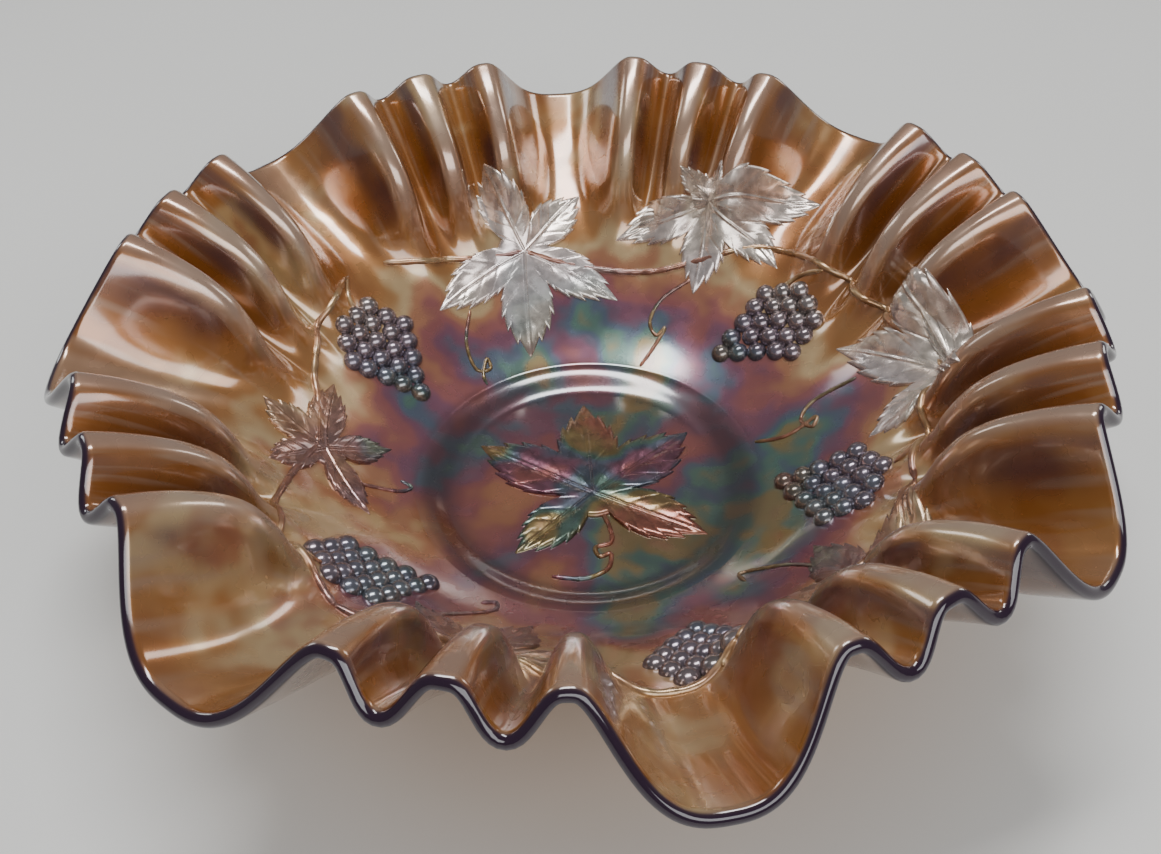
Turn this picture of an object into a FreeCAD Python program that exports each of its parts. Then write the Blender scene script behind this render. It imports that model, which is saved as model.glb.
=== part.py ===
"""Ruffled carnival glass bowl: a pressed, hand-crimped glass bowl with a vine, leaves and grapes in relief.

Millimetres, +Z up. The origin is the centre of the foot, on the surface that the bowl stands on.
The wall is a fold-shaped shell: every point of its inner surface is found from a plan angle and from
how far up the wall it lies, by blending three upright profiles (fold crest, narrow dip, wide lobe).
The relief is laid on that inner surface, so it bends with the folds as the pressed pattern does.
"""
import FreeCAD, Part
import math
import os

from FreeCAD import Vector

# Foot and base
FOOT_OUTER_R = 45.0
FOOT_INNER_R = 38.0
FOOT_HEIGHT = 4.0
FOOT_EDGE_ROUND = 0.8
SHOULDER_R = 46.0
SHOULDER_Z = 11.2
WELL_FLOOR_R = 36.0
WELL_FLOOR_Z = 8.0
WELL_SIDE_POWER = 0.9

# Inner surface of the wall as (radius, height), from the well's shoulder to the rim
CREST_PROFILE = [(46.0, 11.2), (57.0, 17.0), (68.0, 25.0), (77.5, 34.0), (82.5, 43.0), (85.0, 52.0),
                 (88.5, 60.0), (93.4, 66.0), (99.2, 70.6), (105.0, 74.2), (110.9, 77.0)]
NARROW_PROFILE = [(46.0, 11.2), (57.0, 17.0), (68.0, 25.0), (78.5, 33.5), (86.8, 41.1), (92.6, 47.2),
                  (97.9, 52.9), (102.7, 57.8), (107.2, 62.1), (111.6, 66.0), (115.9, 69.6)]
WIDE_PROFILE = [(46.0, 11.2), (57.0, 17.0), (68.0, 25.0), (79.0, 33.0), (88.5, 39.0), (95.3, 42.3),
                (101.6, 45.1), (107.6, 47.8), (113.3, 50.9), (118.9, 54.4), (124.4, 58.0)]

# Crimping: eight groups of three crests, with a wide lobe between neighbouring groups.
# The lobes on the -Y side are shortened by up to a small share of the wall.
GROUP_ANGLES = [-15.3, 26.3, 71.9, 115.9, 161.1, 208.7, 257.8, 302.8]
CREST_SPACING = 10.6
WIDE_FULLNESS = 2.9
WIDE_ROUNDING = 2.5
CREST_ROUNDING = 1.7
NEAR_SHORTENING = 0.022

# Glass thickness
SHOULDER_THICKNESS = 5.0
RIM_THICKNESS = 3.2
THINNING_RATE = 1.6
FOLD_NORMAL_SHARE = 0.5
# Rounding of the rim: rise past the inner surface's end and way through the glass, as shares of its thickness
RIM_ROUND = [(0.35, 0.12), (0.5, 0.5), (0.35, 0.88)]

# Resolution of the smooth surfaces
ANGLE_STEP = 1.5
WALL_ROWS = 17
LEAF_POINTS = 120

# Relief: how far it is sunk into the glass, leaf height, and radii
RELIEF_SINK = 0.5
LEAF_HEIGHT = 1.2
BERRY_R = 3.0
BERRY_CENTRE_DEPTH = 0.7
VINE_R = 1.1
STEM_R = 0.85
TENDRIL_R = 0.65
# A strand's centre line above the glass and the step between its sections, as shares of its radius
STRAND_RISE = 0.1
STRAND_STEP = 3.5
# A strand's end is this share of its radius, and grows by so much at each section
STRAND_END = 0.5
STRAND_GROWTH = 0.25

# Leaves on the wall: node's plan radius and angle, then each lobe's direction and length.
# A direction is counted from the anticlockwise tangent towards the rim.
WALL_LEAVES = [
    ((77.2, 104.2), [(74, 29.6), (140, 27.1), (214, 31.0), (278, 34.1), (341, 32.0)]),
    ((90.3, 64.5), [(35, 14.0), (95, 12.0), (155, 33.0), (207, 28.2), (265, 29.4), (328, 30.9)]),
    ((91.0, 1.8), [(11, 34.0), (73, 16.0), (150, 16.0), (255, 27.1), (320, 36.0)]),
    ((84.5, 314.1), [(298, 29.9), (234, 25.9), (358, 34.0), (60, 18.0), (150, 24.0)]),
    ((78.0, 252.0), [(80, 24.0), (145, 26.0), (215, 28.0), (278, 29.0), (342, 26.0)]),
    ((68.1, 182.8), [(111, 21.6), (169, 23.7), (243, 20.0), (327, 21.6), (52, 20.0)]),
]
# Side of a lobe: reach as a share of its length, at angles off its midrib
LOBE_SIDE = [(0.0, 1.0), (3.5, 0.93), (8.5, 0.85), (15.5, 0.75), (22.5, 0.64), (28.5, 0.51), (32.0, 0.40),
             (35.0, 0.30)]
TOOTH_DEPTH = 0.05
TOOTH_ANGLE = 7.5
# Sections of a leaf from its node over the edge and back underneath: share of the reach, share of the height
LEAF_SECTIONS = [(0.0, 0.6), (0.25, 0.85), (0.55, 1.0), (0.8, 1.0), (0.93, 0.8), (1.0, 0.2), (0.96, -0.3),
                 (0.8, -0.42), (0.4, -0.42), (0.0, -0.42)]

# Leaf in the well: lobes from its node on the floor, directions from +X
CENTRE_LEAF_NODE = (1.2, -4.0)
CENTRE_LEAF_LOBES = [(149, 37.2), (94, 36.1), (41, 36.3), (333, 33.5), (226, 29.6)]
CENTRE_STEM_PATH = [(1.2, -4.0), (2.8, -9.5), (5.2, -16.0), (5.6, -21.5), (1.6, -23.2), (2.6, -26.2),
                    (5.4, -25.4), (4.4, -30.4), (-1.5, -33.4), (-9.5, -32.6)]

# Bunches: plan radius and angle of the widest row's middle, and the direction of the tip
BUNCHES = [
    ((74.6, 37.2), 297),
    ((74.6, 147.2), 274),
    ((74.5, 219.8), 288),
    ((82.5, 287.0), 282),
    ((69.6, 343.8), 290),
]
BUNCH_ROWS = [3, 4, 5, 4, 3, 2, 1]
BERRY_PITCH = 5.4
ROW_PITCH = 4.7

# Vine, bunch stems and tendrils as (plan radius, angle) points; each vine run starts where the last one ends
VINE_RUNS = [
    [(84.7, 134.0), (80.1, 123.0), (77.2, 104.2)],
    [(77.2, 104.2), (71.4, 86.6), (71.9, 74.4), (76.9, 63.6), (84.0, 53.0), (87.0, 40.0), (86.8, 31.0)],
    [(86.8, 31.0), (87.2, 20.0), (88.5, 10.0), (89.0, 1.8), (84.0, 350.0), (82.0, 340.0)],
    [(82.0, 340.0), (82.5, 328.0), (84.5, 314.1), (87.5, 302.0), (89.0, 290.0)],
    [(89.0, 290.0), (87.5, 276.0), (82.0, 264.0), (78.0, 252.0), (80.0, 240.0), (83.0, 229.0)],
    [(83.0, 229.0), (84.5, 216.0), (81.0, 204.0), (75.0, 193.0), (70.0, 182.8)],
    [(70.0, 182.8), (73.0, 171.0), (79.0, 161.0), (84.0, 151.0), (86.0, 143.0)],
]
BUNCH_STEMS = [
    [(86.5, 36.0), (82.5, 41.0), (77.5, 43.5)],
    [(86.0, 142.0), (82.5, 145.5), (78.5, 146.6)],
    [(84.5, 216.0), (81.5, 219.0), (78.0, 220.0)],
    [(89.5, 287.0), (87.5, 288.5), (85.5, 288.0)],
    [(83.5, 348.0), (80.5, 346.5), (77.5, 345.9)],
]
TENDRILS = [
    [(74.2, 13.1), (64.1, 15.2), (59.4, 12.4), (60.9, 8.2), (62.5, 10.4), (54.5, 9.9), (47.2, 13.6)],
    [(72.1, 64.1), (65.9, 69.7), (60.0, 71.5), (56.5, 68.6), (59.0, 66.6), (51.5, 68.6), (47.0, 70.6)],
    [(66.5, 121.5), (59.7, 126.7), (52.3, 128.7), (50.6, 124.4), (53.6, 123.6), (50.0, 127.6), (47.0, 128.6)],
    [(66.0, 190.5), (57.5, 189.5), (50.5, 188.8), (47.4, 186.0), (50.2, 184.2)],
    [(76.0, 236.0), (64.0, 239.0), (54.0, 244.6), (50.2, 243.4), (52.6, 240.4)],
    [(76.0, 318.8), (62.9, 319.8), (56.4, 317.6), (52.4, 313.8), (55.6, 312.0)],
]


def along(profile, share):
    """Point at a share (0 to 1) of a profile, on a smooth curve through its points."""
    place = share * (len(profile) - 1)
    i = min(int(place), len(profile) - 2)
    t = place - i
    before = profile[max(i - 1, 0)]
    here = profile[i]
    there = profile[i + 1]
    after = profile[min(i + 2, len(profile) - 1)]
    point = []
    for a, b, c, d in zip(before, here, there, after):
        curve = (2 * a - 5 * b + 4 * c - d) * t ** 2 + (3 * b - 3 * c + d - a) * t ** 3
        point.append(b + 0.5 * ((c - a) * t + curve))
    return point


def crest_angles():
    """Plan angles of all crests in turn, each with the kind of dip that follows it."""
    crests = []
    for centre in GROUP_ANGLES:
        crests.append((centre - CREST_SPACING, NARROW_PROFILE))
        crests.append((centre, NARROW_PROFILE))
        crests.append((centre + CREST_SPACING, WIDE_PROFILE))
    return crests


CRESTS = crest_angles()


def fold_at(angle):
    """The dip profile at a plan angle and its weight: 0 on a crest, 1 at the dip's middle."""
    angle = (angle - CRESTS[0][0]) % 360 + CRESTS[0][0]
    for i, (start, dip) in enumerate(CRESTS):
        end = CRESTS[i + 1][0] if i + 1 < len(CRESTS) else CRESTS[0][0] + 360
        if angle <= end:
            t = (angle - start) / (end - start)
            rise = 2 * min(t, 1 - t)
            if dip is WIDE_PROFILE:
                return dip, (1 - (1 - rise) ** WIDE_FULLNESS) ** WIDE_ROUNDING
            return dip, (0.5 - 0.5 * math.cos(math.pi * rise)) ** CREST_ROUNDING
    return NARROW_PROFILE, 0.0


def polar(r, angle, z):
    return Vector(r * math.cos(math.radians(angle)), r * math.sin(math.radians(angle)), z)


def inner_point(share, angle):
    """Point on the wall's inner surface."""
    dip, weight = fold_at(angle)
    crest = along(CREST_PROFILE, share)
    short = NEAR_SHORTENING * max(0.0, -math.sin(math.radians(angle)))
    low = along(dip, share * (1 - short))
    r = crest[0] + (low[0] - crest[0]) * weight
    z = crest[1] + (low[1] - crest[1]) * weight
    return polar(r, angle, z)


def inner_normal(share, angle):
    """Unit normal of the inner surface, pointing into the bowl."""
    step = 0.004
    low = max(share - step, 0.0)
    high = min(share + step, 1.0)
    up = inner_point(high, angle) - inner_point(low, angle)
    turn = 0.2
    across = inner_point(share, angle + turn) - inner_point(share, angle - turn)
    return up.cross(across).normalize()


def profile_normal(share, angle):
    """Normal of the unfolded wall, pointing into the bowl."""
    step = 0.02
    a = along(NARROW_PROFILE, max(share - step, 0.0))
    b = along(NARROW_PROFILE, min(share + step, 1.0))
    return polar(-(b[1] - a[1]), angle, b[0] - a[0]).normalize()


def outward(share, angle):
    """Direction through the glass from the inner to the outer surface."""
    local = inner_normal(share, angle) * FOLD_NORMAL_SHARE
    plain = profile_normal(share, angle) * (1 - FOLD_NORMAL_SHARE)
    return (local + plain).normalize() * -1


def thickness(share):
    return SHOULDER_THICKNESS + (RIM_THICKNESS - SHOULDER_THICKNESS) * min(1.0, share * THINNING_RATE)


def share_of_radius(radius):
    """How far up the wall a plan radius lies, on the unfolded wall."""
    low = 0.0
    high = 1.0
    for _ in range(30):
        middle = 0.5 * (low + high)
        if along(NARROW_PROFILE, middle)[0] < radius:
            low = middle
        else:
            high = middle
    return 0.5 * (low + high)


def wall_lengths(count=200):
    """Length up the unfolded wall at even shares of its profile."""
    lengths = [0.0]
    last = along(NARROW_PROFILE, 0.0)
    for i in range(1, count + 1):
        point = along(NARROW_PROFILE, i / count)
        lengths.append(lengths[-1] + math.dist(last, point))
        last = point
    return lengths


WALL_LENGTHS = wall_lengths()


def share_of_length(length):
    """Share of the profile at a length up the wall."""
    count = len(WALL_LENGTHS) - 1
    length = min(max(length, 0.0), WALL_LENGTHS[-1])
    for i in range(count):
        if WALL_LENGTHS[i + 1] >= length:
            part = (length - WALL_LENGTHS[i]) / (WALL_LENGTHS[i + 1] - WALL_LENGTHS[i])
            return (i + part) / count
    return 1.0


def length_of_radius(radius):
    return WALL_LENGTHS[round(share_of_radius(radius) * (len(WALL_LENGTHS) - 1))]


def on_wall(radius, angle, x, y, height):
    """A point laid on the wall: x round and y up from a plan radius and angle, raised by height."""
    share = share_of_length(length_of_radius(radius) + y)
    turned = angle + math.degrees(x / along(NARROW_PROFILE, share)[0])
    return inner_point(share, turned) + inner_normal(share, turned) * height


def on_floor(x, y, height):
    """A point laid on the well: level floor, then up its rounded side."""
    r = math.hypot(x, y)
    return Vector(x, y, well_height(r) + height)


def well_height(r):
    """Height of the well's inner surface at a plan radius."""
    if r <= WELL_FLOOR_R:
        return WELL_FLOOR_Z
    t = min(1.0, (r - WELL_FLOOR_R) / (SHOULDER_R - WELL_FLOOR_R))
    return WELL_FLOOR_Z + (SHOULDER_Z - WELL_FLOOR_Z) * (0.5 - 0.5 * math.cos(math.pi * t)) ** WELL_SIDE_POWER


def lifted(rows, closed_ends):
    """Control points for a surface that passes through rows of ring points."""
    count = len(rows[0])
    net = []
    for i, row in enumerate(rows):
        new_row = []
        for j, point in enumerate(row):
            bend = point * 2 - row[j - 1] - row[(j + 1) % count]
            if 0 < i < len(rows) - 1:
                bend = bend + point * 2 - rows[i - 1][j] - rows[i + 1][j]
            if closed_ends and i in (0, len(rows) - 1):
                bend = Vector(0, 0, 0)
            new_row.append(point + bend * (1.0 / 6))
        net.append(new_row)
    return net


def ring_surface(rows, closed_ends):
    """Smooth cubic surface through rings of points, closed round each ring."""
    net = lifted(rows, closed_ends)
    count = len(net[0])
    inner_knots = len(net) - 4
    row_knots = [float(k) for k in range(inner_knots + 2)]
    row_mults = [4] + [1] * inner_knots + [4]
    ring_knots = [float(k) for k in range(count + 1)]
    ring_mults = [1] * (count + 1)
    surface = Part.BSplineSurface()
    surface.buildFromPolesMultsKnots(net, row_mults, ring_mults, row_knots, ring_knots, False, True, 3, 3)
    return surface


def solid_of(faces):
    """Closed solid from the faces that bound it."""
    shell = Part.Shell(faces)
    shell.sewShape()
    solid = Part.Solid(shell)
    if solid.Volume < 0:
        solid.reverse()
    return solid


def blob(rows):
    """Solid whose first and last rings are single points."""
    solid = Part.Solid(Part.Shell([ring_surface(rows, True).toShape()]))
    if solid.Volume < 0:
        solid.reverse()
    return solid


def save(node, *solids):
    shape = solids[0] if len(solids) == 1 else Part.makeCompound(list(solids))
    for solid in shape.Solids:
        if not solid.isValid() or not solid.isClosed() or solid.Volume <= 0:
            print("bad solid in", node)
    shape.exportStep("parts/%s.step" % node)
    box = shape.BoundBox
    print("%-18s %2d solids  volume %9.1f  x %6.1f %6.1f  y %6.1f %6.1f  z %5.1f %5.1f" % (
        node, len(shape.Solids), shape.Volume, box.XMin, box.XMax, box.YMin, box.YMax, box.ZMin, box.ZMax))


def make_foot_ring():
    """Collar that the bowl stands on, with rounded lower edges."""
    ring = Part.makeCylinder(FOOT_OUTER_R, FOOT_HEIGHT).cut(Part.makeCylinder(FOOT_INNER_R, FOOT_HEIGHT))
    lower = [e for e in ring.Edges if e.BoundBox.ZMax < 0.01 and e.Length > 1]
    return ring.makeFillet(FOOT_EDGE_ROUND, lower)


def make_base_disc():
    """Floor of the well, with its rounded side up to the shoulder."""
    steps = 10
    side = []
    for i in range(steps + 1):
        r = WELL_FLOOR_R + (SHOULDER_R - WELL_FLOOR_R) * i / steps
        side.append(Vector(r, 0, well_height(r)))
    slope = Part.BSplineCurve()
    slope.interpolate(side)
    corners = [side[0], Vector(0, 0, WELL_FLOOR_Z), Vector(0, 0, FOOT_HEIGHT),
               Vector(SHOULDER_R, 0, FOOT_HEIGHT), side[-1]]
    edges = [Part.makeLine(a, b) for a, b in zip(corners, corners[1:])] + [slope.toShape()]
    outline = Part.Face(Part.Wire(Part.__sortEdges__(edges)))
    return outline.revolve(Vector(0, 0, 0), Vector(0, 0, 1), 360).Solids[0]


def make_wall():
    """Ruffled wall: up the inner surface, over the rounded rim and down the outer surface."""
    angles = [i * ANGLE_STEP for i in range(round(360 / ANGLE_STEP))]
    shares = [i / (WALL_ROWS - 1) for i in range(WALL_ROWS)]
    inside = [[inner_point(s, a) for a in angles] for s in shares]
    outside = [[inner_point(s, a) + outward(s, a) * thickness(s) for a in angles] for s in reversed(shares)]
    outside[-1] = [polar(SHOULDER_R, a, SHOULDER_Z - SHOULDER_THICKNESS) for a in angles]
    rim = []
    for over, through in RIM_ROUND:
        row = []
        for a in angles:
            top = inner_point(1.0, a)
            through_glass = outward(1.0, a)
            beyond = top - inner_point(0.97, a)
            shift = through_glass * through + beyond.normalize() * over
            row.append(top + shift * RIM_THICKNESS)
        rim.append(row)
    rows = inside + rim + outside
    skin = ring_surface(rows, False).toShape()
    edges = [e for e in skin.Edges if e.BoundBox.ZLength < 0.5]
    collar = Part.makeRuledSurface(edges[0], edges[1])
    return solid_of([skin, collar])


def lobe_reach(lobes, direction):
    """Distance from a leaf's node to its toothed edge in one direction."""
    reach = LOBE_SIDE[-1][1] * min(length for _, length in lobes)
    for centre, length in lobes:
        off = abs((direction - centre + 180) % 360 - 180)
        for (near, far_reach), (far, near_reach) in zip(LOBE_SIDE, LOBE_SIDE[1:]):
            if near <= off < far:
                edge = far_reach + (near_reach - far_reach) * (off - near) / (far - near)
                tooth = 0.5 - 0.5 * math.cos(2 * math.pi * off / TOOTH_ANGLE)
                reach = max(reach, length * edge * (1 - TOOTH_DEPTH * tooth))
    return reach


def make_leaf(lobes, place):
    """Raised leaf: lobes round a node, laid on the glass by the function place(x, y, height)."""
    rows = []
    for share, level in LEAF_SECTIONS:
        row = []
        for i in range(LEAF_POINTS):
            direction = 360.0 * i / LEAF_POINTS
            flat = polar(lobe_reach(lobes, direction) * share, direction, 0)
            row.append(place(flat.x, flat.y, LEAF_HEIGHT * level))
        rows.append(row)
    return blob(rows)


def make_strand(points, normals, radius):
    """Round strand half sunk in the glass, thinner at both ends."""
    rings = []
    for i, point in enumerate(points):
        ahead = (points[min(i + 1, len(points) - 1)] - points[max(i - 1, 0)]).normalize()
        from_end = min(i, len(points) - 1 - i)
        taper = min(1.0, STRAND_END + STRAND_GROWTH * from_end)
        circle = Part.Circle(point, ahead, radius * taper)
        circle.XAxis = (normals[i] - ahead * normals[i].dot(ahead)).normalize()
        rings.append(Part.Wire(circle.toShape()))
    return Part.makeLoft(rings, True, False)


def smooth_path(path, spacing):
    """Points along a smooth curve through a path's points."""
    curve = Part.BSplineCurve()
    curve.interpolate(path)
    count = max(6, round(curve.length() / spacing))
    return curve.discretize(count)


def wall_strand(path, radius):
    """Strand laid on the wall along (plan radius, angle) points."""
    flat = smooth_path([polar(r, a, 0) for r, a in path], STRAND_STEP * radius)
    points = []
    normals = []
    for p in flat:
        share = share_of_radius(math.hypot(p.x, p.y))
        angle = math.degrees(math.atan2(p.y, p.x))
        normal = inner_normal(share, angle)
        points.append(inner_point(share, angle) + normal * (radius * STRAND_RISE))
        normals.append(normal)
    return make_strand(points, normals, radius)


def floor_strand(path, radius):
    """Strand laid on the well's floor along (x, y) points."""
    flat = smooth_path([Vector(x, y, 0) for x, y in path], STRAND_STEP * radius)
    points = [on_floor(p.x, p.y, radius * STRAND_RISE) for p in flat]
    return make_strand(points, [Vector(0, 0, 1)] * len(points), radius)


def make_bunch(middle, tip):
    """Berries in rows across the bunch, from the wide end to the single berry at its tip."""
    radius, angle = middle
    along_x = math.cos(math.radians(tip))
    along_y = math.sin(math.radians(tip))
    berries = []
    for i, count in enumerate(BUNCH_ROWS):
        down = (i - 1) * ROW_PITCH
        for j in range(count):
            side = (j - (count - 1) / 2) * BERRY_PITCH
            x = down * along_x - side * along_y
            y = down * along_y + side * along_x
            foot = on_wall(radius, angle, x, y, 0)
            normal = on_wall(radius, angle, x, y, 1.0) - foot
            berries.append(make_berry(foot, normal))
    return berries


def make_berry(foot, normal):
    """Domed berry with its flat underside just below the glass surface."""
    centre = foot - normal * BERRY_CENTRE_DEPTH
    cut = math.degrees(math.asin((BERRY_CENTRE_DEPTH - RELIEF_SINK) / BERRY_R))
    return Part.makeSphere(BERRY_R, centre, normal, cut, 90, 360)


def main():
    os.makedirs("parts", exist_ok=True)
    save("foot_ring", make_foot_ring())
    save("base_disc", make_base_disc())
    save("bowl_wall", make_wall())
    node_x, node_y = CENTRE_LEAF_NODE
    save("centre_leaf", make_leaf(CENTRE_LEAF_LOBES, lambda x, y, h: on_floor(node_x + x, node_y + y, h)))
    save("centre_leaf_stem", floor_strand(CENTRE_STEM_PATH, STEM_R))
    for i, ((radius, angle), lobes) in enumerate(WALL_LEAVES, 1):
        save("vine_leaf_%d" % i, make_leaf(lobes, lambda x, y, h: on_wall(radius, angle, x, y, h)))
    for i, (middle, tip) in enumerate(BUNCHES, 1):
        save("grape_bunch_%d" % i, *make_bunch(middle, tip))
    for i, path in enumerate(BUNCH_STEMS, 1):
        save("bunch_stem_%d" % i, wall_strand(path, STEM_R))
    for i, path in enumerate(VINE_RUNS, 1):
        save("vine_run_%d" % i, wall_strand(path, VINE_R))
    for i, path in enumerate(TENDRILS, 1):
        save("tendril_%d" % i, wall_strand(path, TENDRIL_R))


main()
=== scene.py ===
import math

import bpy
import numpy as np
from mathutils import Matrix, Vector


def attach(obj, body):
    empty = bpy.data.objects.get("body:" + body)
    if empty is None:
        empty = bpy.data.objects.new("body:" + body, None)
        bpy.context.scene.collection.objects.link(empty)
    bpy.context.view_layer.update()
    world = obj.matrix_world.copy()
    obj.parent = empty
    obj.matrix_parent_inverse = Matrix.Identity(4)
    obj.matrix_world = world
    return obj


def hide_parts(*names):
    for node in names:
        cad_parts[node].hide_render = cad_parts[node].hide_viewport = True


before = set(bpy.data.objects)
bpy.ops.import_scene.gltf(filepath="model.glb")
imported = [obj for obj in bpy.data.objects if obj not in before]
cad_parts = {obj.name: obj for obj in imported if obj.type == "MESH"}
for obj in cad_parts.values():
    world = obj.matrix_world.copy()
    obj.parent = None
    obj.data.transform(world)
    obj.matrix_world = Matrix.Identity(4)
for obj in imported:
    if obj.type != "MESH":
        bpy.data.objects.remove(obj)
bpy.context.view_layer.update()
MM = 0.001

# ---------------------------------------------------------------- shape, in millimetres
FOOT_OUTER_R = 45.0
FOOT_INNER_R = 38.0
FOOT_HEIGHT = 4.0
SHOULDER_R = 46.0
SHOULDER_Z = 11.2
WELL_FLOOR_R = 36.0
WELL_FLOOR_Z = 8.0
WELL_SIDE_POWER = 0.9

# Inner surface of the wall as (radius, height), from the well's shoulder to the rim
CREST_PROFILE = [(46.0, 11.2), (57.0, 17.0), (68.0, 25.0), (77.5, 34.0), (82.5, 43.0), (85.0, 52.0),
                 (88.5, 60.0), (93.4, 66.0), (99.2, 70.6), (105.0, 74.2), (110.9, 77.0)]
NARROW_PROFILE = [(46.0, 11.2), (57.0, 17.0), (68.0, 25.0), (78.5, 33.5), (86.8, 41.1), (92.6, 47.2),
                  (97.9, 52.9), (102.7, 57.8), (107.2, 62.1), (111.6, 66.0), (115.9, 69.6)]
WIDE_PROFILE = [(46.0, 11.2), (57.0, 17.0), (68.0, 25.0), (79.0, 33.0), (88.5, 39.0), (95.3, 42.3),
                (101.6, 45.1), (107.6, 47.8), (113.3, 50.9), (118.9, 54.4), (124.4, 58.0)]

# Crimping: eight groups of three crests, with a wide lobe between neighbouring groups.
# The lobes on the -Y side are shortened by up to a small share of the wall.
GROUP_ANGLES = [-15.3, 26.3, 71.9, 115.9, 161.1, 208.7, 257.8, 302.8]
CREST_SPACING = 10.6
WIDE_FULLNESS = 2.9
WIDE_ROUNDING = 2.5
CREST_ROUNDING = 1.7
NEAR_SHORTENING = 0.022

# Glass thickness: full at the shoulder, thinning to the rim's; the outside follows the folds only in part
SHOULDER_THICKNESS = 5.0
RIM_THICKNESS = 3.2
THINNING_RATE = 1.6
FOLD_NORMAL_SHARE = 0.5
WALL_LENGTH = 105.0
BARE_BAND = 5.0

# Outside below the wall as (radius, height): the base's edge, the rounded foot ring and the recess within it
UNDERSIDE = [(SHOULDER_R, SHOULDER_Z - SHOULDER_THICKNESS), (SHOULDER_R - 0.2, 5.2), (45.4, 4.4), (45.0, 3.6),
             (FOOT_OUTER_R, 1.2), (44.8, 0.5), (44.4, 0.12), (43.8, 0.0), (39.4, 0.0), (38.7, 0.12),
             (38.3, 0.5), (FOOT_INNER_R, 1.2), (37.9, 3.2), (37.6, 3.7), (37.0, 3.95), (36.0, FOOT_HEIGHT),
             (20.0, FOOT_HEIGHT), (0.6, FOOT_HEIGHT)]

# Resolution of the meshes
COLUMNS = 900
WALL_ROWS = 120
OUTER_ROWS = 60
LEAF_DIRECTIONS = 480

# Leaves on the wall: node's plan radius and angle, then each lobe's direction and length
WALL_LEAVES = [
    ((77.2, 104.2), [(74, 29.6), (140, 27.1), (214, 31.0), (278, 34.1), (341, 32.0)]),
    ((90.3, 64.5), [(35, 14.0), (95, 12.0), (155, 33.0), (207, 28.2), (265, 29.4), (328, 30.9)]),
    ((91.0, 1.8), [(11, 34.0), (73, 16.0), (150, 16.0), (255, 27.1), (320, 36.0)]),
    ((84.5, 314.1), [(298, 29.9), (234, 25.9), (358, 34.0), (60, 18.0), (150, 24.0)]),
    ((78.0, 252.0), [(80, 24.0), (145, 26.0), (215, 28.0), (278, 29.0), (342, 26.0)]),
    ((68.1, 182.8), [(111, 21.6), (169, 23.7), (243, 20.0), (327, 21.6), (52, 20.0)]),
]
# The leaves given the silver tint, a painted reflection; their glass is the same as the other leaves'.
REFLECTION_TINTED_LEAVES = (1, 2, 3)
CENTRE_LEAF_NODE = (1.2, -4.0)
CENTRE_LEAF_LOBES = [(149, 37.2), (94, 36.1), (41, 36.3), (333, 33.5), (226, 29.6)]
CENTRE_STEM_PATH = [(1.2, -4.0), (2.8, -9.5), (5.2, -16.0), (5.6, -21.5), (1.6, -23.2), (2.6, -26.2),
                    (5.4, -25.4), (4.4, -30.4), (-1.5, -33.4), (-9.5, -32.6)]

# Side of a lobe: reach as a share of its length, at angles off its midrib
LOBE_SIDE = [(0.0, 1.0), (3.5, 0.93), (8.5, 0.85), (15.5, 0.75), (22.5, 0.64), (28.5, 0.51), (32.0, 0.40),
             (35.0, 0.30)]
TOOTH_ANGLE = 7.0
TOOTH_DEPTH = 0.09
TOOTH_HOOK = 1.3

# A leaf's face above the glass, its sunken edge and back, and the ribs, furrows and side veins on it
LEAF_FACE = 1.05
LEAF_EDGE = -0.35
LEAF_BACK = -0.9
LEAF_STEP_SHARE = 0.16
RIB_HEIGHT = 0.40
RIB_WIDTH = 0.40
FURROW_DEPTH = 0.62
FURROW_WIDTH = 1.9
VEIN_DEPTH = 0.14
VEIN_WIDTH = 0.42
VEINS_PER_LOBE = 5.5
VEIN_SLOPE = 1.1

BUNCHES = [
    ((74.6, 37.2), 297),
    ((74.6, 147.2), 274),
    ((74.5, 219.8), 288),
    ((82.5, 287.0), 282),
    ((69.6, 343.8), 290),
]
BUNCH_ROWS = [3, 4, 5, 4, 3, 2, 1]
BERRY_PITCH = 5.4
ROW_PITCH = 4.7
BERRY_R = 3.05
BERRY_CENTRE_DEPTH = 0.7
BERRY_STRAY = 0.35
STRAND_RISE = 0.05
VINE_R = 0.95
STALK_R = 0.75
CENTRE_STEM_R = 0.65
CURL_R = 0.55

VINE_RUNS = [
    [(84.7, 134.0), (80.1, 123.0), (77.2, 104.2)],
    [(77.2, 104.2), (71.4, 86.6), (71.9, 74.4), (76.9, 63.6), (84.0, 53.0), (87.0, 40.0), (86.8, 31.0)],
    [(86.8, 31.0), (87.2, 20.0), (88.5, 10.0), (89.0, 1.8), (84.0, 350.0), (82.0, 340.0)],
    [(82.0, 340.0), (82.5, 328.0), (84.5, 314.1), (87.5, 302.0), (89.0, 290.0)],
    [(89.0, 290.0), (87.5, 276.0), (82.0, 264.0), (78.0, 252.0), (80.0, 240.0), (83.0, 229.0)],
    [(83.0, 229.0), (84.5, 216.0), (81.0, 204.0), (75.0, 193.0), (70.0, 182.8)],
    [(70.0, 182.8), (73.0, 171.0), (79.0, 161.0), (84.0, 151.0), (86.0, 143.0)],
]
BUNCH_STEMS = [
    [(86.5, 36.0), (82.5, 41.0), (77.5, 43.5)],
    [(86.0, 142.0), (82.5, 145.5), (78.5, 146.6)],
    [(84.5, 216.0), (81.5, 219.0), (78.0, 220.0)],
    [(89.5, 287.0), (87.5, 288.5), (85.5, 288.0)],
    [(83.5, 348.0), (80.5, 346.5), (77.5, 345.9)],
]
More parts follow.
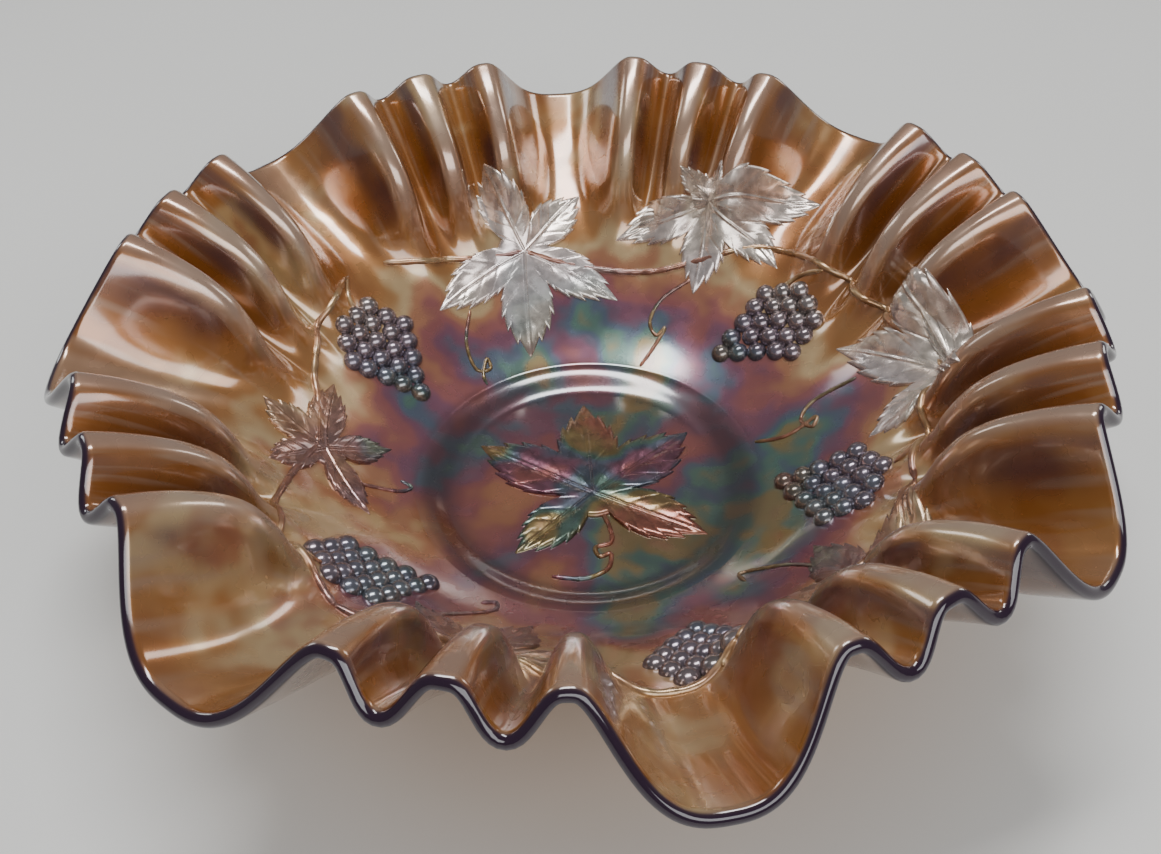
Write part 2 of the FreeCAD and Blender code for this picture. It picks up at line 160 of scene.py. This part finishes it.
TENDRILS = [
    [(74.2, 13.1), (64.1, 15.2), (59.4, 12.4), (60.9, 8.2), (62.5, 10.4), (54.5, 9.9), (47.2, 13.6)],
    [(72.1, 64.1), (65.9, 69.7), (60.0, 71.5), (56.5, 68.6), (59.0, 66.6), (51.5, 68.6), (47.0, 70.6)],
    [(66.5, 121.5), (59.7, 126.7), (52.3, 128.7), (50.6, 124.4), (53.6, 123.6), (50.0, 127.6), (47.0, 128.6)],
    [(66.0, 190.5), (57.5, 189.5), (50.5, 188.8), (47.4, 186.0), (50.2, 184.2)],
    [(76.0, 236.0), (64.0, 239.0), (54.0, 244.6), (50.2, 243.4), (52.6, 240.4)],
    [(76.0, 318.8), (62.9, 319.8), (56.4, 317.6), (52.4, 313.8), (55.6, 312.0)],
]


def along(profile, share):
    """Points (radius, height) at shares (0 to 1) of a profile, on a smooth curve through its points."""
    table = np.array(profile)
    place = np.clip(share, 0, 1) * (len(table) - 1)
    i = np.minimum(place.astype(int), len(table) - 2)
    t = (place - i)[..., None]
    a = table[np.maximum(i - 1, 0)]
    b = table[i]
    c = table[i + 1]
    d = table[np.minimum(i + 2, len(table) - 1)]
    curve = (2 * a - 5 * b + 4 * c - d) * t ** 2 + (3 * b - 3 * c + d - a) * t ** 3
    return b + 0.5 * ((c - a) * t + curve)


def crests():
    """Each crest's angle, and whether a wide lobe follows it."""
    found = []
    for centre in GROUP_ANGLES:
        found += [(centre - CREST_SPACING, 0.0), (centre, 0.0), (centre + CREST_SPACING, 1.0)]
    return np.array(found + [(found[0][0] + 360, 0.0)])


CRESTS = crests()


def folds(angle):
    """At plan angles: how far from a crest (0) to the middle of a dip (1), and 1 in a wide dip."""
    turned = (angle - CRESTS[0, 0]) % 360 + CRESTS[0, 0]
    i = np.clip(np.searchsorted(CRESTS[:, 0], turned, side="right") - 1, 0, len(CRESTS) - 2)
    t = (turned - CRESTS[i, 0]) / (CRESTS[i + 1, 0] - CRESTS[i, 0])
    wide = CRESTS[i, 1]
    rise = 2 * np.minimum(t, 1 - t)
    narrow_weight = (0.5 - 0.5 * np.cos(np.pi * rise)) ** CREST_ROUNDING
    wide_weight = (1 - (1 - rise) ** WIDE_FULLNESS) ** WIDE_ROUNDING
    return np.where(wide > 0, wide_weight, narrow_weight), wide


def polar(r, angle, z):
    return np.stack([r * np.cos(np.radians(angle)), r * np.sin(np.radians(angle)), z], -1)


def inner_point(share, angle):
    """Points on the wall's inner surface."""
    share, angle = np.broadcast_arrays(np.asarray(share, float), np.asarray(angle, float))
    weight, wide = folds(angle)
    reach = share * (1 - NEAR_SHORTENING * np.maximum(0.0, -np.sin(np.radians(angle))))
    dip = np.where(wide[..., None] > 0, along(WIDE_PROFILE, reach), along(NARROW_PROFILE, reach))
    crest = along(CREST_PROFILE, share)
    rz = crest + (dip - crest) * weight[..., None]
    return polar(rz[..., 0], angle, rz[..., 1])


def unit(v):
    return v / np.linalg.norm(v, axis=-1, keepdims=True)


def inner_normal(share, angle):
    """Unit normals of the inner surface, into the bowl."""
    share = np.asarray(share, float)
    up = inner_point(np.minimum(share + 0.004, 1), angle) - inner_point(np.maximum(share - 0.004, 0), angle)
    turn = inner_point(share, angle + 0.2) - inner_point(share, angle - 0.2)
    return unit(np.cross(up, turn))


def outward(share, angle):
    """Directions through the glass, from the inner to the outer surface."""
    above = along(NARROW_PROFILE, np.minimum(share + 0.02, 1))
    step = above - along(NARROW_PROFILE, np.maximum(share - 0.02, 0))
    plain = unit(polar(-step[..., 1], angle, step[..., 0]))
    return -unit(inner_normal(share, angle) * FOLD_NORMAL_SHARE + plain * (1 - FOLD_NORMAL_SHARE))


def thickness(share):
    return SHOULDER_THICKNESS + (RIM_THICKNESS - SHOULDER_THICKNESS) * np.minimum(1.0, share * THINNING_RATE)


def well_height(r):
    """Height of the well's inner surface."""
    t = np.clip((r - WELL_FLOOR_R) / (SHOULDER_R - WELL_FLOOR_R), 0, 1)
    return WELL_FLOOR_Z + (SHOULDER_Z - WELL_FLOOR_Z) * (0.5 - 0.5 * np.cos(np.pi * t)) ** WELL_SIDE_POWER


FINE_SHARES = np.linspace(0, 1, 1001)
FINE_PROFILE = along(NARROW_PROFILE, FINE_SHARES)
FINE_LENGTHS = np.concatenate([[0], np.cumsum(np.linalg.norm(np.diff(FINE_PROFILE, axis=0), axis=1))])


def share_of_radius(radius):
    return np.interp(radius, FINE_PROFILE[:, 0], FINE_SHARES)


def on_wall(place, x, y, height):
    """Points laid on the wall: x round and y up from a (plan radius, angle) place, raised by height."""
    start = np.interp(place[0], FINE_PROFILE[:, 0], FINE_LENGTHS)
    share = np.interp(start + y, FINE_LENGTHS, FINE_SHARES)
    angle = place[1] + np.degrees(x / np.interp(share, FINE_SHARES, FINE_PROFILE[:, 0]))
    return inner_point(share, angle) + inner_normal(share, angle) * np.asarray(height)[..., None]


def on_floor(place, x, y, height):
    """Points laid on the well's floor."""
    px = place[0] + x
    py = place[1] + y
    return np.stack([px, py, well_height(np.hypot(px, py)) + height], -1)


# ---------------------------------------------------------------- meshes
def mesh_object(name, points, faces, attributes=None):
    """Smooth-shaded object from points in millimetres."""
    mesh = bpy.data.meshes.new(name)
    mesh.from_pydata((points * MM).tolist(), [], faces)
    for key, values in (attributes or {}).items():
        layer = mesh.attributes.new(key, "FLOAT", "POINT")
        layer.data.foreach_set("value", np.asarray(values, np.float32))
    mesh.polygons.foreach_set("use_smooth", [True] * len(mesh.polygons))
    mesh.update()
    thing = bpy.data.objects.new(name, mesh)
    bpy.context.scene.collection.objects.link(thing)
    return thing


def ring_faces(rows, columns, start=0):
    """Quads between rings of points that close on themselves."""
    faces = []
    for i in range(rows - 1):
        a = start + i * columns
        b = a + columns
        for j in range(columns):
            k = (j + 1) % columns
            faces.append((a + j, a + k, b + k, b + j))
    return faces


def capped_rings(name, rings, attributes=None, flip=False):
    """Closed object from rings, with one point closing each end."""
    rings = np.asarray(rings)
    rows, columns = rings.shape[:2]
    first = rings[0].mean(0)
    last = rings[-1].mean(0)
    points = np.vstack([rings.reshape(-1, 3), first, last])
    faces = ring_faces(rows, columns)
    n = rows * columns
    base = (rows - 1) * columns
    for j in range(columns):
        k = (j + 1) % columns
        faces.append((n, k, j))
        faces.append((n + 1, base + j, base + k))
    if flip:
        faces = [face[::-1] for face in faces]
    full = {}
    for key, values in (attributes or {}).items():
        flat = np.asarray(values).reshape(-1)
        full[key] = np.concatenate([flat, [flat[0], flat[-1]]])
    return mesh_object(name, points, faces, full)


def make_body():
    """The whole glass body: well, wall, rim, outside, foot."""
    angle = np.arange(COLUMNS) * 360.0 / COLUMNS
    rings = []
    film = []
    up = []
    edge = []

    def add(points, film_value, up_value, edge_value):
        rings.append(points)
        film.append(np.full(COLUMNS, film_value))
        up.append(np.full(COLUMNS, up_value))
        edge.append(np.full(COLUMNS, edge_value))

    for r in np.concatenate([[0.6], np.linspace(3, 34, 12), np.linspace(35, SHOULDER_R, 24)[:-1]]):
        add(polar(np.full(COLUMNS, r), angle, np.full(COLUMNS, well_height(r))), 1.0, 0.0, 0.0)
    for share in np.linspace(0, 1, WALL_ROWS):
        add(inner_point(share, angle), 1.0, share, 0.0)
    top = inner_point(np.ones(COLUMNS), angle)
    through = outward(np.ones(COLUMNS), angle)
    beyond = unit(top - inner_point(np.full(COLUMNS, 0.97), angle))
    for turn in np.radians(np.arange(15, 180, 15)):
        across = RIM_THICKNESS * (0.5 - 0.5 * np.cos(turn))
        over = RIM_THICKNESS * 0.5 * np.sin(turn)
        bare = min(1.0, max(0.0, math.degrees(turn) / 30 - 0.7))
        add(top + through * across + beyond * over, 1.0 - bare, 1.0, bare)
    for share in np.linspace(1, 0.02, OUTER_ROWS):
        shares = np.full(COLUMNS, share)
        near_rim = max(0.0, 1 - (1 - share) * WALL_LENGTH / BARE_BAND)
        add(inner_point(shares, angle) + outward(shares, angle) * thickness(share), 0.4, share, near_rim)
    for r, z in UNDERSIDE:
        add(polar(np.full(COLUMNS, r), angle, np.full(COLUMNS, z)), 0.15, 0.0, 0.0)
    weight, _ = folds(angle)
    fold = np.broadcast_to(weight, (len(rings), COLUMNS))
    return capped_rings("glass_body", rings, {"film": film, "up": up, "edge": edge, "fold": fold})


def lobe_reach(lobes, direction):
    """Distance from a leaf's node to its toothed edge, in each direction."""
    reach = np.full(direction.shape, LOBE_SIDE[-1][1] * min(length for _, length in lobes))
    side_angles, side_shares = zip(*LOBE_SIDE)
    for centre, length in lobes:
        off = np.abs((direction - centre + 180) % 360 - 180)
        edge = length * np.interp(off, side_angles, side_shares, right=0.0)
        tooth = (off / TOOTH_ANGLE) % 1.0
        reach = np.maximum(reach, edge * (1 - TOOTH_DEPTH * tooth ** TOOTH_HOOK))
    return reach


def leaf_height(lobes, x, y, share, direction):
    """Height of a leaf's face: a step at the edge, pillows between ribs, raised ribs and side veins."""
    off = np.stack([np.abs((direction - centre + 180) % 360 - 180) for centre, _ in lobes])
    nearest = off.argmin(0)
    centre = np.radians(np.array([c for c, _ in lobes])[nearest])
    length = np.array([l for _, l in lobes])[nearest]
    ahead = x * np.cos(centre) + y * np.sin(centre)
    aside = np.abs(-x * np.sin(centre) + y * np.cos(centre))
    pitch = length / VEINS_PER_LOBE
    vein_place = ((ahead - VEIN_SLOPE * aside) / pitch) % 1.0 - 0.5
    vein = np.exp(-(vein_place * pitch / VEIN_WIDTH) ** 2) * np.clip((ahead / length - 0.12) * 8, 0, 1)
    rib = np.exp(-(aside / RIB_WIDTH) ** 2)
    furrow = np.exp(-(aside / FURROW_WIDTH) ** 2)
    step = np.clip((1 - share) / LEAF_STEP_SHARE, 0, 1)
    step = np.sqrt(step * (2 - step))
    face = LEAF_FACE + RIB_HEIGHT * rib - FURROW_DEPTH * furrow - VEIN_DEPTH * vein * step
    return LEAF_EDGE + (face - LEAF_EDGE) * step


def make_leaf(name, lobes, place, lay):
    """Raised leaf, laid on the glass by lay(place, x, y, height)."""
    direction = np.arange(LEAF_DIRECTIONS) * 360.0 / LEAF_DIRECTIONS
    reach = lobe_reach(lobes, direction)
    edge_x = reach * np.cos(np.radians(direction))
    edge_y = reach * np.sin(np.radians(direction))
    rings = []
    for share in np.concatenate([np.linspace(0.02, 0.84, 34), np.linspace(0.86, 1.0, 9)]):
        x = edge_x * share
        y = edge_y * share
        rings.append(lay(place, x, y, leaf_height(lobes, x, y, share, direction)))
    for share in (0.97, 0.6, 0.05):
        rings.append(lay(place, edge_x * share, edge_y * share, np.full_like(edge_x, LEAF_BACK)))
    return capped_rings(name, rings, flip=True)


def smooth_path(points, spacing):
    """Evenly spaced points on a smooth open curve through the given points."""
    points = np.asarray(points, float)
    fine = along(points, np.linspace(0, 1, 40 * len(points)))
    length = np.concatenate([[0], np.cumsum(np.linalg.norm(np.diff(fine, axis=0), axis=1))])
    count = max(8, round(length[-1] / spacing))
    even = np.linspace(0, length[-1], count)
    return np.stack([np.interp(even, length, fine[:, k]) for k in range(2)], -1)


def strand(name, points, normals, radius, sides=14, blunt=0.5):
    """Round strand half sunk in the glass, thinner at its ends."""
    rings = []
    turns = np.arange(sides) * 2 * math.pi / sides
    last = len(points) - 1
    for i, point in enumerate(points):
        ahead = unit(points[min(i + 1, last)] - points[max(i - 1, 0)])
        across = unit(np.cross(normals[i], ahead))
        rise = np.cross(ahead, across)
        taper = min(1.0, blunt + 0.18 * min(i, last - i))
        size = radius * taper * (1 + 0.07 * math.sin(i * 0.9))
        rings.append(point + size * (np.cos(turns)[:, None] * across + np.sin(turns)[:, None] * rise))
    return capped_rings(name, rings, flip=True)


def wall_strand(name, path, radius):
    level = [(r * math.cos(math.radians(a)), r * math.sin(math.radians(a))) for r, a in path]
    flat = smooth_path(level, radius * 0.7)
    share = share_of_radius(np.hypot(flat[:, 0], flat[:, 1]))
    angle = np.degrees(np.arctan2(flat[:, 1], flat[:, 0]))
    normals = inner_normal(share, angle)
    return strand(name, inner_point(share, angle) + normals * (radius * STRAND_RISE), normals, radius)


def floor_strand(name, path, radius):
    flat = smooth_path(path, radius * 0.7)
    height = well_height(np.hypot(flat[:, 0], flat[:, 1])) + radius * STRAND_RISE
    points = np.stack([flat[:, 0], flat[:, 1], height], -1)
    return strand(name, points, np.tile([0.0, 0.0, 1.0], (len(points), 1)), radius)


def make_bunch(name, place, tip, rng):
    """Grapes in rows, from the wide end to the single grape at the tip."""
    along_x = math.cos(math.radians(tip))
    along_y = math.sin(math.radians(tip))
    rings = 11
    sides = 22
    turns = np.arange(sides) * 2 * math.pi / sides
    points = []
    faces = []
    for i, count in enumerate(BUNCH_ROWS):
        down = (i - 1) * ROW_PITCH
        for j in range(count):
            side = (j - (count - 1) / 2) * BERRY_PITCH + rng.uniform(-BERRY_STRAY, BERRY_STRAY)
            ahead = down + rng.uniform(-BERRY_STRAY, BERRY_STRAY)
            x = np.array([ahead * along_x - side * along_y])
            y = np.array([ahead * along_y + side * along_x])
            foot = on_wall(place, x, y, np.zeros(1))[0]
            normal = unit(on_wall(place, x, y, np.ones(1))[0] - foot)
            across = unit(np.cross(normal, [0.0, 0.0, 1.0]))
            other = np.cross(normal, across)
            radius = BERRY_R * rng.uniform(0.96, 1.05)
            start = len(points)
            centre = foot - normal * BERRY_CENTRE_DEPTH
            for k in range(rings):
                tilt = math.radians(2 + 84.0 * k / (rings - 1))
                circle = np.cos(turns)[:, None] * across + np.sin(turns)[:, None] * other
                points += list(centre + radius * (math.cos(tilt) * circle + math.sin(tilt) * normal))
            points.append(centre + radius * normal)
            points.append(centre)
            top = start + rings * sides
            for k in range(rings - 1):
                for m in range(sides):
                    n = (m + 1) % sides
                    a = start + k * sides
                    faces.append((a + m, a + n, a + sides + n, a + sides + m)[::-1])
            for m in range(sides):
                n = (m + 1) % sides
                faces.append((top, start + (rings - 1) * sides + n, start + (rings - 1) * sides + m))
                faces.append((top + 1, start + m, start + n))
    return mesh_object(name, np.array(points), faces)


# ---------------------------------------------------------------- materials
def node(tree, kind, **settings):
    made = tree.nodes.new(kind)
    for key, value in settings.items():
        setattr(made, key, value)
    return made


def maths(tree, operation, a, b=None, clamp=False):
    """Math node's output; a and b are numbers or outputs."""
    made = node(tree, "ShaderNodeMath", operation=operation, use_clamp=clamp)
    for socket, value in zip(made.inputs, (a, b)):
        if value is None:
            continue
        if isinstance(value, (int, float)):
            socket.default_value = value
        else:
            tree.links.new(value, socket)
    return made.outputs[0]


def ramp(tree, factor, stops, interpolation="EASE"):
    made = node(tree, "ShaderNodeValToRGB")
    made.color_ramp.interpolation = interpolation
    elements = made.color_ramp.elements
    while len(elements) < len(stops):
        elements.new(0.5)
    for element, (place, colour) in zip(elements, stops):
        element.position = place
        element.color = (*colour, 1)
    tree.links.new(factor, made.inputs[0])
    return made.outputs[0]


def noise(tree, vector, scale, detail=2.0, roughness=0.5):
    made = node(tree, "ShaderNodeTexNoise")
    made.inputs["Scale"].default_value = scale
    made.inputs["Detail"].default_value = detail
    made.inputs["Roughness"].default_value = roughness
    tree.links.new(vector, made.inputs["Vector"])
    return made.outputs[0]


def remap(tree, value, low, high, to_low=0.0, to_high=1.0):
    made = node(tree, "ShaderNodeMapRange", interpolation_type="SMOOTHSTEP")
    for key, number in (("From Min", low), ("From Max", high), ("To Min", to_low), ("To Max", to_high)):
        made.inputs[key].default_value = number
    tree.links.new(value, made.inputs["Value"])
    return made.outputs["Result"]


def mix(tree, factor, a, b, blend="MIX"):
    made = node(tree, "ShaderNodeMix", data_type="RGBA", blend_type=blend)
    for socket, value in ((made.inputs[0], factor), (made.inputs[6], a), (made.inputs[7], b)):
        if isinstance(value, (int, float)):
            socket.default_value = value
        elif isinstance(value, tuple):
            socket.default_value = (*value, 1)
        else:
            tree.links.new(value, socket)
    return made.outputs[2]


FILM_STOPS = [
    (0.00, (0.26, 0.090, 0.014)),
    (0.14, (0.31, 0.130, 0.030)),
    (0.29, (0.46, 0.310, 0.150)),
    (0.41, (0.33, 0.135, 0.062)),
    (0.52, (0.23, 0.066, 0.062)),
    (0.62, (0.145, 0.048, 0.080)),
    (0.71, (0.060, 0.080, 0.115)),
    (0.76, (0.060, 0.120, 0.095)),
    (0.83, (0.17, 0.120, 0.040)),
    (1.00, (0.22, 0.066, 0.040)),
]
AMETHYST = (0.014, 0.004, 0.014)
# Painted reflection: the silver tint of the leaves that catch the lamps' light.
SILVER_REFLECTION = (0.86, 0.81, 0.76)
PEWTER = (0.20, 0.20, 0.235)
OLIVE_ROSE = (0.34, 0.25, 0.19)
VINE_TINT = (0.36, 0.23, 0.14)
# Pale streaks on the upper wall: part film bands, part painted reflection.
FILM_BAND_AND_SHEEN = (0.36, 0.24, 0.16)
# Painted highlight on the crests of the folds.
CREST_HIGHLIGHT = (0.42, 0.31, 0.25)
# Painted shade on the flanks of the folds.
FLANK_SHADE = (0.10, 0.040, 0.038)
FILM_METAL = 0.52


def film_colour(tree, place, shift=0.0):
    """Colour of the iridescent film: bands by distance from the axis, broken up by soft noise."""
    split = node(tree, "ShaderNodeSeparateXYZ")
    tree.links.new(place, split.inputs[0])
    flat = node(tree, "ShaderNodeCombineXYZ")
    tree.links.new(split.outputs[0], flat.inputs[0])
    tree.links.new(split.outputs[1], flat.inputs[1])
    length = node(tree, "ShaderNodeVectorMath", operation="LENGTH")
    tree.links.new(flat.outputs[0], length.inputs[0])
    radius = length.outputs["Value"]
    phase = remap(tree, radius, 0.050, 0.092, 0.61 + shift, 0.08 + shift)
    broad = noise(tree, place, 26.0, 1.5)
    patch = noise(tree, place, 62.0, 2.0)
    phase = maths(tree, "ADD", phase, maths(tree, "MULTIPLY", maths(tree, "SUBTRACT", broad, 0.5), 1.0))
    phase = maths(tree, "ADD", phase, maths(tree, "MULTIPLY", maths(tree, "SUBTRACT", patch, 0.5), 0.7))
    return ramp(tree, phase, FILM_STOPS), radius


def start_material(name):
    material = bpy.data.materials.new(name)
    material.use_nodes = True
    tree = material.node_tree
    shader = tree.nodes["Principled BSDF"]
    place = node(tree, "ShaderNodeTexCoord").outputs["Object"]
    return material, tree, shader, place


def attribute(tree, name):
    return node(tree, "ShaderNodeAttribute", attribute_name=name).outputs["Fac"]


def bump(tree, shader, height, strength, distance):
    made = node(tree, "ShaderNodeBump")
    made.inputs["Strength"].default_value = strength
    made.inputs["Distance"].default_value = distance
    tree.links.new(height, made.inputs["Height"])
    tree.links.new(made.outputs[0], shader.inputs["Normal"])


def body_material():
    """Amethyst glass under the film: amber wall, magenta to teal near the well, bare at the rim's edge.

    The wall's folds get painted light too: painted highlights on the crests, painted shade on the flanks, and
    soft pale bands between them, part film colour and part painted reflection. The well is darkened with
    painted shade.
    """
    material, tree, shader, place = start_material("iridescent_glass")
    colour, radius = film_colour(tree, place)
    fold = attribute(tree, "fold")
    up = attribute(tree, "up")
    upper = remap(tree, up, 0.30, 0.60)
    # Soft pale streaks along the folds on the upper wall: part film bands, part painted reflection.
    streaks = node(tree, "ShaderNodeCombineXYZ")
    tree.links.new(maths(tree, "MULTIPLY", fold, 3.0), streaks.inputs[0])
    tree.links.new(up, streaks.inputs[1])
    tree.links.new(noise(tree, place, 9.0), streaks.inputs[2])
    bands = remap(tree, noise(tree, streaks.outputs[0], 2.2, 1.0), 0.48, 0.66, 0.0, 0.55)
    colour = mix(tree, maths(tree, "MULTIPLY", bands, upper), colour, FILM_BAND_AND_SHEEN)
    # Painted highlight: the crests' tops on the upper wall are paled.
    crest = maths(tree, "MULTIPLY", remap(tree, fold, 0.0, 0.10, 0.45, 0.0), upper)
    colour = mix(tree, crest, colour, CREST_HIGHLIGHT)
    # Painted shade: the flanks of the folds on the upper wall are darkened, in noisy patches.
    flank_shade = maths(tree, "MULTIPLY", remap(tree, fold, 0.06, 0.22), remap(tree, fold, 0.35, 0.70, 1.0, 0.0))
    flank_shade = maths(tree, "MULTIPLY", flank_shade, remap(tree, noise(tree, place, 40.0), 0.35, 0.62, 0.15, 0.85))
    colour = mix(tree, maths(tree, "MULTIPLY", flank_shade, upper), colour, FLANK_SHADE)
    # Painted shade: the well is darkened a little, and much more in a ring from the edge of its floor up its
    # side.
    well = remap(tree, radius, 0.042, 0.049, 1.0, 0.0)
    dark = mix(tree, well, (1.0, 1.0, 1.0), (0.80, 0.72, 0.66))
    ring = maths(tree, "MULTIPLY", remap(tree, radius, 0.032, 0.040), well)
    dark = mix(tree, ring, dark, (0.40, 0.32, 0.30))
    colour = mix(tree, 1.0, colour, dark, "MULTIPLY")
    film = attribute(tree, "film")
    colour = mix(tree, film, AMETHYST, colour)
    edge = attribute(tree, "edge")
    colour = mix(tree, edge, colour, AMETHYST)
    tree.links.new(colour, shader.inputs["Base Color"])
    metal = maths(tree, "MULTIPLY", film, FILM_METAL)
    metal = maths(tree, "MULTIPLY", metal, maths(tree, "SUBTRACT", 1.0, edge))
    tree.links.new(metal, shader.inputs["Metallic"])
    satin = remap(tree, noise(tree, place, 120.0, 3.0), 0.3, 0.7, 0.20, 0.32)
    rough = maths(tree, "MULTIPLY", satin, maths(tree, "SUBTRACT", 1.0, maths(tree, "MULTIPLY", edge, 0.75)))
    tree.links.new(rough, shader.inputs["Roughness"])
    coat = maths(tree, "SUBTRACT", 1.0, maths(tree, "MULTIPLY", edge, 0.85))
    tree.links.new(coat, shader.inputs["Coat Weight"])
    shader.inputs["Coat IOR"].default_value = 1.75
    shader.inputs["Coat Roughness"].default_value = 0.11
    bump(tree, shader, noise(tree, place, 700.0, 2.0), 0.02, 0.0003)
    return material


def relief_material(name, tint, amount, metal, rough, bump_scale):
    """The same film over raised glass, leaning towards a tint."""
    material, tree, shader, place = start_material(name)
    colour, radius = film_colour(tree, place, 0.16)
    height_tint = remap(tree, radius, 0.040, 0.070, 0.15, 1.0)
    colour = mix(tree, maths(tree, "MULTIPLY", height_tint, amount), colour, tint)
    mottle = remap(tree, noise(tree, place, 300.0, 3.0), 0.35, 0.65, 0.72, 1.08)
    grey = node(tree, "ShaderNodeCombineColor")
    for socket in grey.inputs[:3]:
        tree.links.new(mottle, socket)
    colour = mix(tree, 1.0, colour, grey.outputs[0], "MULTIPLY")
    tree.links.new(colour, shader.inputs["Base Color"])
    shader.inputs["Metallic"].default_value = metal
    satin = remap(tree, noise(tree, place, 200.0), 0.3, 0.7, rough, rough + 0.08)
    tree.links.new(satin, shader.inputs["Roughness"])
    shader.inputs["Coat Weight"].default_value = 0.6
    shader.inputs["Coat Roughness"].default_value = 0.05
    bump(tree, shader, noise(tree, place, bump_scale, 3.0), 0.12, 0.0005)
    return material


def floor_material():
    material, tree, shader, place = start_material("pale_floor")
    tint = remap(tree, noise(tree, place, 3.0, 4.0), 0.2, 0.8, 0.0, 1.0)
    colour = mix(tree, tint, (0.64, 0.63, 0.60), (0.68, 0.67, 0.64))
    length = node(tree, "ShaderNodeVectorMath", operation="LENGTH")
    tree.links.new(place, length.inputs[0])
    # Painted shadow: a warm brown shadow on the floor under the bowl, as of light through the amber glass.
    under = remap(tree, length.outputs["Value"], 0.05, 0.150, 0.8, 0.0)
    colour = mix(tree, under, colour, (0.52, 0.36, 0.24))
    tree.links.new(colour, shader.inputs["Base Color"])
    shader.inputs["Roughness"].default_value = 0.55
    return material


# ---------------------------------------------------------------- the object
def finish_piece(piece, material, slot_name, *nodes):
    piece.data.materials.append(material)
    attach(piece, "root")
    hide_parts(*nodes)


def build_object():
    rng = np.random.default_rng(7)
    low_leaf_glass = relief_material("low_leaf_glass", OLIVE_ROSE, 0.45, 0.75, 0.24, 700.0)
    # Leaf glass with the silver tint of a painted reflection.
    leaf_glass = relief_material("leaf_glass", SILVER_REFLECTION, 0.62, 0.75, 0.22, 700.0)
    grape_glass = relief_material("grape_glass", PEWTER, 0.75, 0.80, 0.19, 500.0)
    vine_glass = relief_material("vine_glass", VINE_TINT, 0.4, 0.7, 0.25, 700.0)
    finish_piece(make_body(), body_material(), "wall_glass", "foot_ring", "base_disc", "bowl_wall")
    centre = make_leaf("leaf_in_well", CENTRE_LEAF_LOBES, CENTRE_LEAF_NODE, on_floor)
    finish_piece(centre, low_leaf_glass, "leaf_glass", "centre_leaf")
    stem = floor_strand("stem_in_well", CENTRE_STEM_PATH, CENTRE_STEM_R)
    finish_piece(stem, vine_glass, "vine_glass", "centre_leaf_stem")
    for i, (place, lobes) in enumerate(WALL_LEAVES, 1):
        # The silver tint on these leaves is a painted reflection.
        glass = leaf_glass if i in REFLECTION_TINTED_LEAVES else low_leaf_glass
        finish_piece(make_leaf(f"leaf_{i}", lobes, place, on_wall), glass, "leaf_glass", f"vine_leaf_{i}")
    for i, (place, tip) in enumerate(BUNCHES, 1):
        bunch = make_bunch(f"grapes_{i}", place, tip, rng)
        finish_piece(bunch, grape_glass, "grape_glass", f"grape_bunch_{i}")
    for i, path in enumerate(BUNCH_STEMS, 1):
        finish_piece(wall_strand(f"stalk_{i}", path, STALK_R), vine_glass, "vine_glass", f"bunch_stem_{i}")
    for i, path in enumerate(VINE_RUNS, 1):
        finish_piece(wall_strand(f"vine_{i}", path, VINE_R), vine_glass, "vine_glass", f"vine_run_{i}")
    for i, path in enumerate(TENDRILS, 1):
        finish_piece(wall_strand(f"curl_{i}", path, CURL_R), vine_glass, "vine_glass", f"tendril_{i}")


# ---------------------------------------------------------------- studio, in metres
FLOOR_SIDE = 8.0
LIT_POINT = (0.0, 0.0, 0.03)
CAMERA_POSITION = (0.0, -0.2141, 0.2287)
CAMERA_TARGET = (-0.0021, 0.0146, 0.015)
CAMERA_ROLL = -1.05
CAMERA_LENS = 35.15


def look_at(thing, position, target, roll=0.0):
    position = Vector(position)
    turn = (Vector(target) - position).to_track_quat("-Z", "Y").to_matrix().to_4x4()
    thing.matrix_world = Matrix.Translation(position) @ turn @ Matrix.Rotation(math.radians(roll), 4, "Z")


def area_light(name, position, target, size, power, colour=(1, 1, 1)):
    data = bpy.data.lights.new(name, "AREA")
    data.shape = "RECTANGLE"
    data.size = size[0]
    data.size_y = size[1]
    data.energy = power
    data.color = colour
    light = bpy.data.objects.new(name, data)
    bpy.context.scene.collection.objects.link(light)
    look_at(light, position, target)


def build_floor():
    mesh = bpy.data.meshes.new("floor")
    half = FLOOR_SIDE / 2
    corners = [(-half, -half, 0), (half, -half, 0), (half, half, 0), (-half, half, 0)]
    mesh.from_pydata(corners, [], [(0, 1, 2, 3)])
    floor = bpy.data.objects.new("floor", mesh)
    floor.data.materials.append(floor_material())
    bpy.context.scene.collection.objects.link(floor)


def build_lights():
    world = bpy.data.worlds.new("studio")
    world.use_nodes = True
    world.node_tree.nodes["Background"].inputs[0].default_value = (0.92, 0.96, 1.0, 1)
    world.node_tree.nodes["Background"].inputs[1].default_value = 0.25
    bpy.context.scene.world = world
    area_light("overhead", (-0.08, 0.24, 1.2), LIT_POINT, (0.7, 0.25), 12, (0.97, 0.98, 1.0))
    area_light("front_window", (0.45, -1.25, 1.05), LIT_POINT, (1.9, 0.7), 22, (0.97, 0.98, 1.0))
    area_light("left_window", (-1.2, 0.75, 0.6), LIT_POINT, (0.25, 0.5), 2.2, (0.95, 0.98, 1.0))
    area_light("right_window", (1.2, 0.85, 0.6), LIT_POINT, (0.25, 0.5), 2.5, (1.0, 0.98, 0.95))


def build_camera():
    camera = bpy.data.objects.new("camera", bpy.data.cameras.new("camera"))
    camera.data.lens = CAMERA_LENS
    camera.data.sensor_width = 36.0
    camera.data.clip_start = 0.01
    bpy.context.scene.collection.objects.link(camera)
    look_at(camera, CAMERA_POSITION, CAMERA_TARGET, CAMERA_ROLL)
    bpy.context.scene.camera = camera


def plain(box):
    return [[float(x) for x in corner] for corner in box]


build_object()
build_floor()
build_lights()
build_camera()
bpy.context.view_layer.update()
